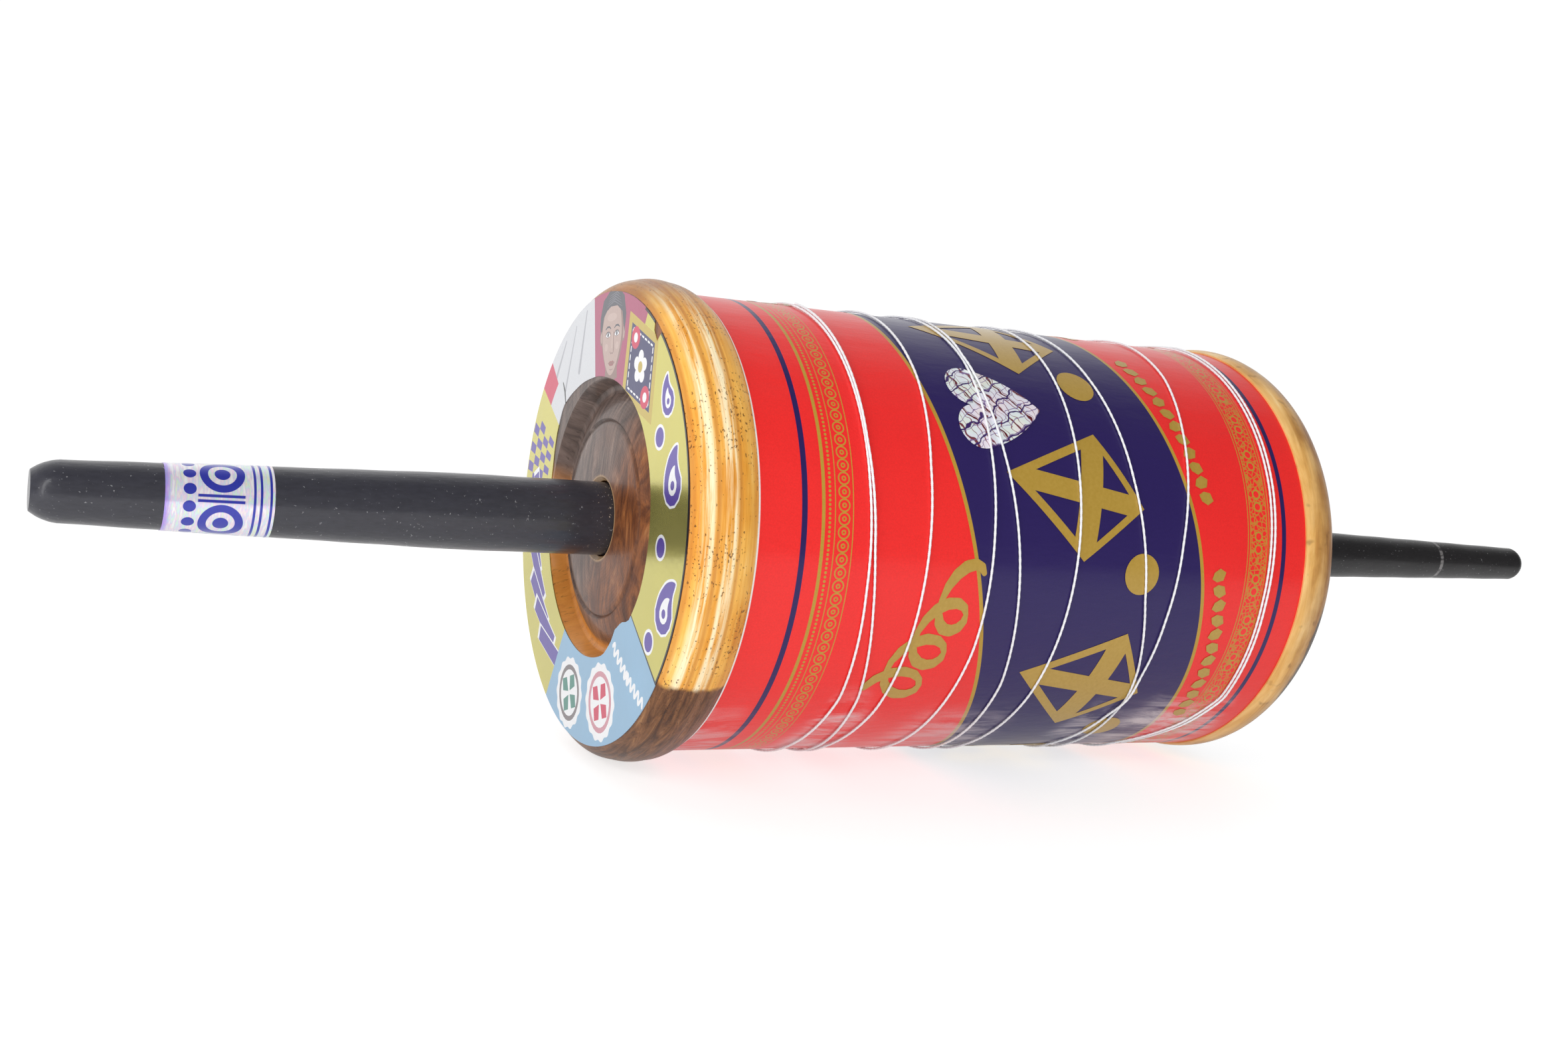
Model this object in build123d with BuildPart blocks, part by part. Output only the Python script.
from build123d import *
import os
from math import cos, radians, sin

# Kite-string reel: a hollow drum that spins on two ball bearings about a fixed
# steel rod, with a tapered wooden handle pressed on each end of the rod.
# The reel's axis is X, the thick handle is at -X ("near"), the slim one at +X
# ("far"), and the origin is the middle of the drum, on the axis.  All in mm.

os.makedirs("parts", exist_ok=True)

# ---------------------------------------------------------------- dimensions
# drum
drum_length = 203.0
drum_radius = 71.7
wrap_thickness = 0.5
stave_thickness = 3.0
stave_count = 16
stave_gap = 0.6
former_thickness = 8.0
mid_former_bore_radius = 7.0

# end flanges
near_flange_thickness = 20.0
far_flange_thickness = 18.0
flange_lip_radius = 72.2
near_rim_radius = 75.0
far_rim_radius = 73.2
far_face_radius = 64.0
label_radius = 70.2
label_thickness = 0.2
dish_radius = 43.0
channel_depth = 6.0
channel_radius = 40.6
channel_wall_lean = 1.0
channel_toe = (0.6, 1.8)
sweep_middle = (3.0, 4.2)
dome_middle = (0.3, 8.0)
ring_radius = 30.4
ring_depth = 0.8
shoulder_depth = 1.6
hub_depth = 0.6
bore_clearance = 0.4
bore_chamfer = 1.2

# rim profiles, each point as (distance from the near face or from the drum, depth below the rim)
near_bead_crowns = ((2.9, 2.0), (10.3, 0.0), (17.2, 1.1))
near_bead_grooves = ((7.0, 0.6), (13.5, 0.4))
far_shoulder_start = (4.5, 0.1)
far_shoulder_crown = (9.0, 0.9)
far_shoulder_fall = (14.4, 3.9)

# ball bearings, 10 x 30 x 9
bearing_bore_radius = 5.0
bearing_radius = 15.0
bearing_width = 9.0
bearing_outer_face_x = 109.0
pitch_radius = 10.2
ball_radius = 2.38
ball_count = 8
race_radius = 2.43
inner_land_radius = 8.4
outer_land_radius = 12.0
cage_inner_radius = 9.3
cage_outer_radius = 11.1
cage_width = 6.0
shield_thickness = 0.3
shield_bore_radius = 8.55
shield_inset = 0.1
inner_ring_chamfer = 0.3

# rod, spacers and circlips
rod_length = 286.0
rod_chamfer = 0.8
circlip_thickness = 1.0
circlip_groove_radius = 4.8
circlip_radius = 6.9
circlip_gap = 2.4
circlip_lug_angle = 25.0
circlip_lug_radius = 1.6
circlip_lug_hole_radius = 0.6
circlip_lug_inset = 0.3
spacer_radius = 7.8
spacer_thickness = 2.0

# handles
near_grip_radius = 11.4
near_tip_radius = 8.6
near_tip_x = 282.8
near_grip_length = 45.0
far_grip_radius = 9.5
far_tip_radius = 6.45
far_tip_x = 288.6
far_grip_length = 20.0
grip_gap = 1.5
collar_step = 0.5
near_nose_length = 7.3
near_nose_middle = (2.6, 7.25)
near_end_radius = 5.6
far_nose_length = 5.0
far_nose_middle = (1.6, 4.4)
far_end_radius = 1.5
far_ring_x = 237.5
far_ring_width = 0.9
far_ring_depth = 0.4
seal_start_x = 220.5
seal_length = 29.0
seal_thickness = 0.15

# fasteners
screw_count = 6
screw_circle_radius = 56.0
screw_radius = 1.75
screw_head_radius = 3.6
screw_length = 24.0
screw_tip_length = 4.0
screw_tip_radius = 0.3
screw_slot_length = 4.0
screw_slot_width = 0.8
screw_slot_depth = 1.2
pin_radius = 0.6
pin_length = 7.0
pin_sink = 0.2

# sticker
sticker_x = -15.5
sticker_angle = 41.0
sticker_half = 16.0
sticker_thickness = 0.15

# thread
thread_radius = 0.45
thread_clearance = 0.05
thread_turns = 11
thread_span = 170.0

# ---------------------------------------------------------------- worked out
half_drum = drum_length / 2
near_face_x = -half_drum - near_flange_thickness
far_face_x = half_drum + far_flange_thickness
stave_outer_radius = drum_radius - wrap_thickness
stave_inner_radius = stave_outer_radius - stave_thickness
bearing_x = bearing_outer_face_x - bearing_width / 2
bearing_inner_face_x = bearing_outer_face_x - bearing_width
hub_x = bearing_outer_face_x + spacer_thickness
near_bore_radius = near_grip_radius + bore_clearance
far_bore_radius = far_grip_radius + bore_clearance
near_grip_x = grip_gap - near_face_x
far_grip_x = grip_gap + far_face_x
pin_station_x = half_drum - former_thickness / 2
pin_mid_radius = stave_outer_radius - pin_sink - pin_length / 2
pin_hole_length = pin_length + 2 * pin_sink
half_step = 180 / stave_count
screw_head_height = screw_head_radius - screw_radius

near_face_plane = Plane(origin=(near_face_x, 0, 0), x_dir=(0, 1, 0), z_dir=(-1, 0, 0))
far_face_plane = Plane(origin=(far_face_x, 0, 0), x_dir=(0, 1, 0), z_dir=(1, 0, 0))
near_bearing_plane = Plane.YZ.offset(-bearing_x)
hanging = (Align.CENTER, Align.CENTER, Align.MAX)
lug_angles = {"start_angle": 90 - circlip_lug_angle, "angular_range": 2 * circlip_lug_angle}

# ------------------------------------------------------------- near handle
near_nose_x = near_tip_x - near_nose_length
near_taper_x = near_grip_x + near_grip_length
near_taper = (near_grip_radius - near_tip_radius) / (near_nose_x - near_taper_x)

with BuildPart() as near_handle:
    with BuildSketch(Plane.XZ):
        with BuildLine():
            Polyline(
                (-hub_x, bearing_bore_radius),
                (-hub_x, near_grip_radius - collar_step),
                (-near_grip_x, near_grip_radius - collar_step),
                (-near_grip_x, near_grip_radius),
                (-near_taper_x, near_grip_radius),
                (-near_nose_x, near_tip_radius),
            )
            ThreePointArc(
                (-near_nose_x, near_tip_radius),
                (near_nose_middle[0] - near_tip_x, near_nose_middle[1]),
                (-near_tip_x, near_end_radius),
            )
            Polyline(
                (-near_tip_x, near_end_radius),
                (-near_tip_x, 0),
                (-rod_length / 2, 0),
                (-rod_length / 2, bearing_bore_radius),
                (-hub_x, bearing_bore_radius),
            )
        make_face()
    revolve(axis=Axis.X)

near_handle.part.label = "near_handle"
export_step(near_handle.part, "parts/near_handle.step")

# --------------------------------------------- foil seal round the near handle
with BuildPart() as handle_seal_band:
    seal_edges = []
    for station in (seal_start_x, seal_start_x + seal_length):
        radius = near_grip_radius - near_taper * (station - near_taper_x)
        seal_edges.append((-station, radius))
    with BuildSketch(Plane.XZ):
        with BuildLine():
            Polyline(
                seal_edges[0],
                seal_edges[1],
                (seal_edges[1][0], seal_edges[1][1] + seal_thickness),
                (seal_edges[0][0], seal_edges[0][1] + seal_thickness),
                close=True,
            )
        make_face()
    revolve(axis=Axis.X)

handle_seal_band.part.label = "handle_seal_band"
export_step(handle_seal_band.part, "parts/handle_seal_band.step")

# -------------------------------------------------------------- far handle
far_nose_x = far_tip_x - far_nose_length
far_taper_x = far_grip_x + far_grip_length
far_taper = (far_grip_radius - far_tip_radius) / (far_nose_x - far_taper_x)
far_ring_radius = far_grip_radius - far_taper * (far_ring_x - far_taper_x)

with BuildPart() as far_handle:
    with BuildSketch(Plane.XZ):
        with BuildLine():
            Polyline(
                (hub_x, bearing_bore_radius),
                (hub_x, far_grip_radius - collar_step),
                (far_grip_x, far_grip_radius - collar_step),
                (far_grip_x, far_grip_radius),
                (far_taper_x, far_grip_radius),
                (far_nose_x, far_tip_radius),
            )
            ThreePointArc(
                (far_nose_x, far_tip_radius),
                (far_tip_x - far_nose_middle[0], far_nose_middle[1]),
                (far_tip_x, far_end_radius),
            )
            Polyline(
                (far_tip_x, far_end_radius),
                (far_tip_x, 0),
                (rod_length / 2, 0),
                (rod_length / 2, bearing_bore_radius),
                (hub_x, bearing_bore_radius),
            )
        make_face()
    revolve(axis=Axis.X)
    # turned ring cut near the grip end
    with BuildSketch(Plane.XZ):
        with Locations((far_ring_x, far_ring_radius)):
            Rectangle(far_ring_width, 2 * far_ring_depth)
    revolve(axis=Axis.X, mode=Mode.SUBTRACT)

far_handle.part.label = "far_handle"
export_step(far_handle.part, "parts/far_handle.step")

# ------------------------------------------------ steel rod with two grooves
with BuildPart() as axle_rod:
    with BuildSketch(Plane.YZ.offset(-rod_length / 2)):
        Circle(bearing_bore_radius)
    extrude(amount=rod_length)
    chamfer(axle_rod.edges(), rod_chamfer)
    for side in (-1, 1):
        groove_x = side * (bearing_inner_face_x - circlip_thickness / 2)
        with BuildSketch(Plane.YZ.offset(groove_x)):
            Circle(bearing_bore_radius)
            Circle(circlip_groove_radius, mode=Mode.SUBTRACT)
        extrude(amount=circlip_thickness / 2, both=True, mode=Mode.SUBTRACT)

axle_rod.part.label = "axle_rod"
export_step(axle_rod.part, "parts/axle_rod.step")

# ------------------------------- spacer between the handle and the inner ring
with BuildPart() as near_spacer:
    with BuildSketch(Plane.YZ.offset(-hub_x)):
        Circle(spacer_radius)
        Circle(bearing_bore_radius, mode=Mode.SUBTRACT)
    extrude(amount=spacer_thickness)

near_spacer.part.label = "near_spacer"
export_step(near_spacer.part, "parts/near_spacer.step")

with BuildPart() as far_spacer:
    mirror(near_spacer.part, about=Plane.YZ)

far_spacer.part.label = "far_spacer"
export_step(far_spacer.part, "parts/far_spacer.step")

# ---------------------------------------------------- circlip on the inner side
with BuildPart() as near_circlip:
    with BuildSketch(Plane.YZ.offset(-bearing_inner_face_x)):
        Circle(circlip_radius)
        with PolarLocations(circlip_radius - circlip_lug_inset, 2, **lug_angles):
            Circle(circlip_lug_radius)
        Circle(circlip_groove_radius, mode=Mode.SUBTRACT)
        with PolarLocations(circlip_radius - circlip_lug_inset, 2, **lug_angles):
            Circle(circlip_lug_hole_radius, mode=Mode.SUBTRACT)
        with Locations((0, circlip_radius)):
            Rectangle(circlip_gap, 2 * circlip_radius, mode=Mode.SUBTRACT)
    extrude(amount=circlip_thickness)

near_circlip.part.label = "near_circlip"
export_step(near_circlip.part, "parts/near_circlip.step")

with BuildPart() as far_circlip:
    mirror(near_circlip.part, about=Plane.YZ)

far_circlip.part.label = "far_circlip"
export_step(far_circlip.part, "parts/far_circlip.step")

# ------------------------------------------------------------- ball bearings
with BuildPart() as near_inner_ring:
    with BuildSketch(Plane.YZ.offset(-bearing_outer_face_x)):
        Circle(inner_land_radius)
        Circle(bearing_bore_radius, mode=Mode.SUBTRACT)
    extrude(amount=bearing_width)
    chamfer(near_inner_ring.edges().filter_by(GeomType.CIRCLE), inner_ring_chamfer)
    with BuildSketch(Plane.XZ):
        with Locations((-bearing_x, pitch_radius)):
            Circle(race_radius)
    revolve(axis=Axis.X, mode=Mode.SUBTRACT)

near_inner_ring.part.label = "near_inner_ring"
export_step(near_inner_ring.part, "parts/near_inner_ring.step")

with BuildPart() as far_inner_ring:
    mirror(near_inner_ring.part, about=Plane.YZ)

far_inner_ring.part.label = "far_inner_ring"
export_step(far_inner_ring.part, "parts/far_inner_ring.step")

with BuildPart() as near_outer_ring:
    with BuildSketch(Plane.YZ.offset(-bearing_outer_face_x)):
        Circle(bearing_radius)
        Circle(outer_land_radius, mode=Mode.SUBTRACT)
    extrude(amount=bearing_width)
    with BuildSketch(Plane.XZ):
        with Locations((-bearing_x, pitch_radius)):
            Circle(race_radius)
    revolve(axis=Axis.X, mode=Mode.SUBTRACT)

near_outer_ring.part.label = "near_outer_ring"
export_step(near_outer_ring.part, "parts/near_outer_ring.step")

with BuildPart() as far_outer_ring:
    mirror(near_outer_ring.part, about=Plane.YZ)

far_outer_ring.part.label = "far_outer_ring"
export_step(far_outer_ring.part, "parts/far_outer_ring.step")

with BuildPart(near_bearing_plane) as near_balls:
    with PolarLocations(pitch_radius, ball_count):
        Sphere(ball_radius)

near_balls.part.label = "near_balls"
export_step(near_balls.part, "parts/near_balls.step")

with BuildPart() as far_balls:
    mirror(near_balls.part, about=Plane.YZ)

far_balls.part.label = "far_balls"
export_step(far_balls.part, "parts/far_balls.step")

with BuildPart(near_bearing_plane) as near_cage:
    with BuildSketch(near_bearing_plane):
        Circle(cage_outer_radius)
        Circle(cage_inner_radius, mode=Mode.SUBTRACT)
    extrude(amount=cage_width / 2, both=True)
    with PolarLocations(pitch_radius, ball_count):
        Cylinder(race_radius, 2 * race_radius, rotation=(0, 90, 0), mode=Mode.SUBTRACT)

near_cage.part.label = "near_cage"
export_step(near_cage.part, "parts/near_cage.step")

with BuildPart() as far_cage:
    mirror(near_cage.part, about=Plane.YZ)

far_cage.part.label = "far_cage"
export_step(far_cage.part, "parts/far_cage.step")

with BuildPart() as near_shields:
    for shield_x in (
        -bearing_outer_face_x + shield_inset,
        -bearing_inner_face_x - shield_inset - shield_thickness,
    ):
        with BuildSketch(Plane.YZ.offset(shield_x)):
            Circle(outer_land_radius)
            Circle(shield_bore_radius, mode=Mode.SUBTRACT)
        extrude(amount=shield_thickness)

near_shields.part.label = "near_shields"
export_step(near_shields.part, "parts/near_shields.step")

with BuildPart() as far_shields:
    mirror(near_shields.part, about=Plane.YZ)

far_shields.part.label = "far_shields"
export_step(far_shields.part, "parts/far_shields.step")

# ----------------------------------------------------------------- flanges
# Both outer faces are turned alike: a flat ring for the label, a deep channel
# inside it, a sweep up to a fine ring and a low dome up to the handle's bore.
def turned_face(face_x, inward, bore_radius):
    """Draws the outer face from the dish's edge to the bearing's shoulder."""

    def at(depth, radius):
        return (face_x + inward * depth, radius)

    wall_foot = at(channel_depth - channel_wall_lean, dish_radius - channel_wall_lean)
    toe = at(channel_depth - channel_toe[0], channel_radius - channel_toe[1])
    ring_outside = at(shoulder_depth, ring_radius + ring_depth)
    ring_bottom = at(shoulder_depth + ring_depth, ring_radius)
    ring_inside = at(shoulder_depth, ring_radius - ring_depth)
    hub_edge = at(hub_depth, bore_radius + bore_chamfer)
    bore_edge = at(hub_depth + bore_chamfer, bore_radius)
    Line(at(0, dish_radius), wall_foot)
    ThreePointArc(wall_foot, at(channel_depth, channel_radius), toe)
    ThreePointArc(toe, at(sweep_middle[0], ring_radius + sweep_middle[1]), ring_outside)
    Polyline(ring_outside, ring_bottom, ring_inside)
    ThreePointArc(
        ring_inside,
        at(hub_depth + dome_middle[0], ring_radius - dome_middle[1]),
        hub_edge,
    )
    Polyline(hub_edge, bore_edge, (-inward * bearing_outer_face_x, bore_radius))


# The near rim is a bullnose turned as three soft beads.
def on_near_rim(point):
    return (near_face_x + point[0], near_rim_radius - point[1])


bead_ends = [
    (near_face_x, label_radius),
    *[on_near_rim(groove) for groove in near_bead_grooves],
    (-half_drum, flange_lip_radius),
]

with BuildPart() as near_flange:
    with BuildSketch(Plane.XZ):
        with BuildLine():
            Line((near_face_x, dish_radius), (near_face_x, label_radius))
            for start, crown, end in zip(bead_ends, near_bead_crowns, bead_ends[1:]):
                ThreePointArc(start, on_near_rim(crown), end)
            Polyline(
                (-half_drum, flange_lip_radius),
                (-half_drum, bearing_radius),
                (-bearing_outer_face_x, bearing_radius),
                (-bearing_outer_face_x, near_bore_radius),
            )
            turned_face(near_face_x, 1, near_bore_radius)
        make_face()
    revolve(axis=Axis.X)
    with Locations(near_face_plane):
        with PolarLocations(screw_circle_radius, screw_count):
            CounterSinkHole(
                screw_radius, screw_head_radius, near_flange_thickness, counter_sink_angle=90
            )

near_flange.part.label = "near_flange"
export_step(near_flange.part, "parts/near_flange.step")

# The far rim is a single rounded shoulder.
def on_far_rim(point):
    return (half_drum + point[0], far_rim_radius - point[1])



with BuildPart() as far_flange:
    with BuildSketch(Plane.XZ):
        with BuildLine():
            ThreePointArc(
                (half_drum, flange_lip_radius),
                on_far_rim(far_shoulder_start),
                on_far_rim(far_shoulder_crown),
            )
            ThreePointArc(
                on_far_rim(far_shoulder_crown),
                on_far_rim(far_shoulder_fall),
                (far_face_x, far_face_radius),
            )
            Line((far_face_x, far_face_radius), (far_face_x, dish_radius))
            turned_face(far_face_x, -1, far_bore_radius)
            Polyline(
                (bearing_outer_face_x, far_bore_radius),
                (bearing_outer_face_x, bearing_radius),
                (half_drum, bearing_radius),
                (half_drum, flange_lip_radius),
            )
        make_face()
    revolve(axis=Axis.X)
    with Locations(far_face_plane):
        with PolarLocations(screw_circle_radius, screw_count):
            CounterSinkHole(
                screw_radius, screw_head_radius, far_flange_thickness, counter_sink_angle=90
            )

far_flange.part.label = "far_flange"
export_step(far_flange.part, "parts/far_flange.step")

# ------------------------------------------------------- paper and foil labels
with BuildPart() as near_label:
    with BuildSketch(Plane.YZ.offset(near_face_x)):
        Circle(label_radius)
        Circle(dish_radius, mode=Mode.SUBTRACT)
    extrude(amount=-label_thickness)

near_label.part.label = "near_label"
export_step(near_label.part, "parts/near_label.step")

with BuildPart() as far_label:
    with BuildSketch(Plane.YZ.offset(far_face_x)):
        Circle(far_face_radius)
        Circle(dish_radius, mode=Mode.SUBTRACT)
    extrude(amount=label_thickness)

far_label.part.label = "far_label"
export_step(far_label.part, "parts/far_label.step")

# ---------------------------------------------- plywood formers inside the drum
# The two end formers clamp the bearings into the flanges.
seat_depth = half_drum - bearing_inner_face_x

with BuildPart() as near_former:
    with BuildSketch(Plane.YZ.offset(-half_drum)):
        Circle(stave_inner_radius)
        Circle(outer_land_radius, mode=Mode.SUBTRACT)
    extrude(amount=former_thickness)
    with BuildSketch(Plane.YZ.offset(-half_drum)):
        Circle(bearing_radius)
    extrude(amount=seat_depth, mode=Mode.SUBTRACT)
    with BuildSketch(Plane.YZ.offset(-half_drum)):
        with PolarLocations(screw_circle_radius, screw_count):
            Circle(screw_radius)
    extrude(amount=former_thickness, mode=Mode.SUBTRACT)
    with Locations(Plane.YZ.offset(-pin_station_x)):
        with PolarLocations(pin_mid_radius, stave_count, start_angle=half_step):
            Cylinder(pin_radius, pin_hole_length, rotation=(0, 90, 0), mode=Mode.SUBTRACT)

near_former.part.label = "near_former"
export_step(near_former.part, "parts/near_former.step")

with BuildPart() as far_former:
    mirror(near_former.part, about=Plane.YZ)

far_former.part.label = "far_former"
export_step(far_former.part, "parts/far_former.step")

with BuildPart() as mid_former:
    with BuildSketch(Plane.YZ):
        Circle(stave_inner_radius)
        Circle(mid_former_bore_radius, mode=Mode.SUBTRACT)
    extrude(amount=former_thickness / 2, both=True)

mid_former.part.label = "mid_former"
export_step(mid_former.part, "parts/mid_former.step")

# ------------------------------------------------------- staves and their pins
with BuildPart() as drum_staves:
    with BuildSketch(Plane.YZ.offset(-half_drum)):
        Circle(stave_outer_radius)
        Circle(stave_inner_radius, mode=Mode.SUBTRACT)
        with PolarLocations(stave_outer_radius - stave_thickness / 2, stave_count):
            Rectangle(2 * stave_thickness, stave_gap, mode=Mode.SUBTRACT)
    extrude(amount=drum_length)
    for station in (-pin_station_x, pin_station_x):
        with Locations(Plane.YZ.offset(station)):
            with PolarLocations(pin_mid_radius, stave_count, start_angle=half_step):
                Cylinder(pin_radius, pin_hole_length, rotation=(0, 90, 0), mode=Mode.SUBTRACT)

drum_staves.part.label = "drum_staves"
export_step(drum_staves.part, "parts/drum_staves.step")

with BuildPart() as stave_pins:
    for station in (-pin_station_x, pin_station_x):
        with Locations(Plane.YZ.offset(station)):
            with PolarLocations(pin_mid_radius, stave_count, start_angle=half_step):
                Cylinder(pin_radius, pin_length, rotation=(0, 90, 0))

stave_pins.part.label = "stave_pins"
export_step(stave_pins.part, "parts/stave_pins.step")

# ---------------------------------------------------------- printed drum wrap
with BuildPart() as drum_wrap:
    with BuildSketch(Plane.YZ.offset(-half_drum)):
        Circle(drum_radius)
        Circle(stave_outer_radius, mode=Mode.SUBTRACT)
    extrude(amount=drum_length)

drum_wrap.part.label = "drum_wrap"
export_step(drum_wrap.part, "parts/drum_wrap.step")

# ---------------------------------------------- heart-shaped foil sticker
# Its plane faces outward at sticker_angle above the -Y side, with the point at +X.
# The outline is pushed out through the drum's surface, then trimmed to a thin shell.
sticker_tilt = radians(sticker_angle)
sticker_plane = Plane(
    origin=(sticker_x, 0, 0),
    x_dir=(1, 0, 0),
    z_dir=(0, -cos(sticker_tilt), sin(sticker_tilt)),
)



def on_heart(along, across):
    return (along * sticker_half, across * sticker_half)


with BuildPart() as wrap_sticker:
    with BuildSketch(sticker_plane.offset(drum_radius - sticker_half)):
        with BuildLine():
            ThreePointArc(on_heart(-0.6, 0), on_heart(-1, 0.48), on_heart(-0.38, 0.94))
            ThreePointArc(on_heart(-0.38, 0.94), on_heart(0.4, 0.57), on_heart(1, 0))
            mirror(about=Plane.XZ)
        make_face()
    extrude(amount=2 * sticker_half)
    with BuildSketch(Plane.YZ):
        Circle(drum_radius + sticker_thickness)
        Circle(drum_radius, mode=Mode.SUBTRACT)
    extrude(amount=half_drum, both=True, mode=Mode.INTERSECT)

wrap_sticker.part.label = "wrap_sticker"
export_step(wrap_sticker.part, "parts/wrap_sticker.step")

# ---------------------------------------------- screws that hold the flanges on
def flange_screws(face_plane):
    """Adds a ring of countersunk cross-head wood screws, heads flush with the face."""
    with Locations(face_plane):
        with PolarLocations(screw_circle_radius, screw_count):
            Cylinder(screw_radius, screw_length - screw_tip_length, align=hanging)
            Cone(screw_radius, screw_head_radius, screw_head_height, align=hanging)
            Box(screw_slot_length, screw_slot_width, screw_slot_depth, align=hanging, mode=Mode.SUBTRACT)
            Box(screw_slot_width, screw_slot_length, screw_slot_depth, align=hanging, mode=Mode.SUBTRACT)
            with Locations((0, 0, screw_tip_length - screw_length)):
                Cone(screw_tip_radius, screw_radius, screw_tip_length, align=hanging)


with BuildPart() as near_flange_screws:
    flange_screws(near_face_plane)

near_flange_screws.part.label = "near_flange_screws"
export_step(near_flange_screws.part, "parts/near_flange_screws.step")

with BuildPart() as far_flange_screws:
    flange_screws(far_face_plane)

far_flange_screws.part.label = "far_flange_screws"
export_step(far_flange_screws.part, "parts/far_flange_screws.step")

# --------------------------------------------------------- thread on the drum
winding_radius = drum_radius + sticker_thickness + thread_clearance + thread_radius

with BuildPart() as thread_winding:
    with BuildLine() as thread_path:
        Helix(
            pitch=thread_span / thread_turns,
            height=thread_span,
            radius=winding_radius,
            center=(-thread_span / 2, 0, 0),
            direction=(1, 0, 0),
        )
    with BuildSketch(Plane(origin=thread_path.line @ 0, z_dir=thread_path.line % 0)):
        Circle(thread_radius)
    sweep(is_frenet=True)

thread_winding.part.label = "thread_winding"
export_step(thread_winding.part, "parts/thread_winding.step")
